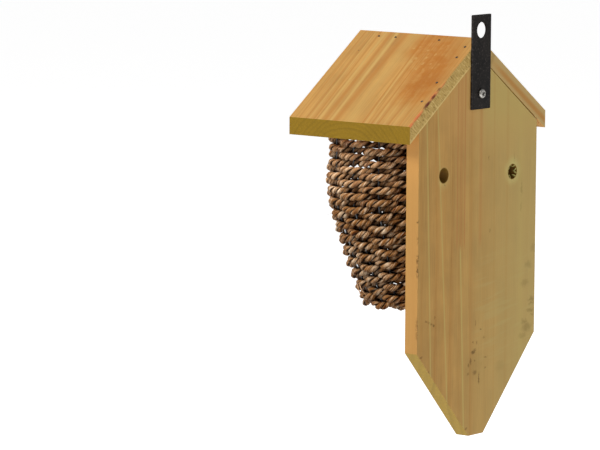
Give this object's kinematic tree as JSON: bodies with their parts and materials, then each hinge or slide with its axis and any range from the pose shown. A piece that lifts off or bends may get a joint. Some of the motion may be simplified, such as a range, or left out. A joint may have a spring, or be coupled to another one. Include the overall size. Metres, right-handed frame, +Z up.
{
  "type": "birdhouse",
  "caption": "Pitched-roof timber birdhouse with a pointed backboard, a nest pocket of rope woven on wire ribs and a swivelling hanger strap.",
  "frame": {"origin": "centre of the hanger strap's hanging hole, on the strap's wall side", "axes": "+Z up, +Y towards the wall, -Y the front where a bird enters, +X to the right seen from the front"},
  "size_m": [0.185, 0.1249, 0.341],
  "materials": {
    "board_timber": "planed pine with a yellow-green preservative tint",
    "roof_timber": "planed pine, orange stain near the rear of one panel, green-tinted end grain",
    "nail_steel": "dull dark wire nails",
    "black_steel": "black semi-matt coating",
    "zinc_screw": "bright zinc plating",
    "seagrass_rope": "twisted dry seagrass, brown to straw",
    "rib_wire": "dark coated wire with bright worn spots",
    "staple_steel": "galvanised staple wire"
  },
  "bodies": {
    "house": {"backboard": "board_timber", "roof_panel_right": "roof_timber", "roof_panel_left": "roof_timber", "ridge_nails": "nail_steel", "gable_nails_right": "nail_steel", "gable_nails_left": "nail_steel", "strap_screw": "zinc_screw", "woven_pocket": "seagrass_rope", "rim_rope": "seagrass_rope", "rim_wire": "rib_wire", "base_wire": "rib_wire", "pocket_staples": "staple_steel", "rib_01": "rib_wire", "rib_02": "rib_wire", "rib_03": "rib_wire", "rib_04": "rib_wire", "rib_05": "rib_wire", "rib_06": "rib_wire", "rib_07": "rib_wire", "rib_08": "rib_wire", "rib_09": "rib_wire", "rib_10": "rib_wire", "rib_11": "rib_wire", "rib_12": "rib_wire", "rib_13": "rib_wire", "rib_14": "rib_wire", "rib_15": "rib_wire", "rib_16": "rib_wire", "rib_17": "rib_wire"},
    "hanger": {"hanger_strap": "black_steel"}
  },
  "joints": [
    {"name": "strap_swivel", "type": "hinge", "parent": "house", "child": "hanger", "pos_m": [0, 0, -0.051], "axis": [0, 1, 0], "continuous": true}
  ]
}
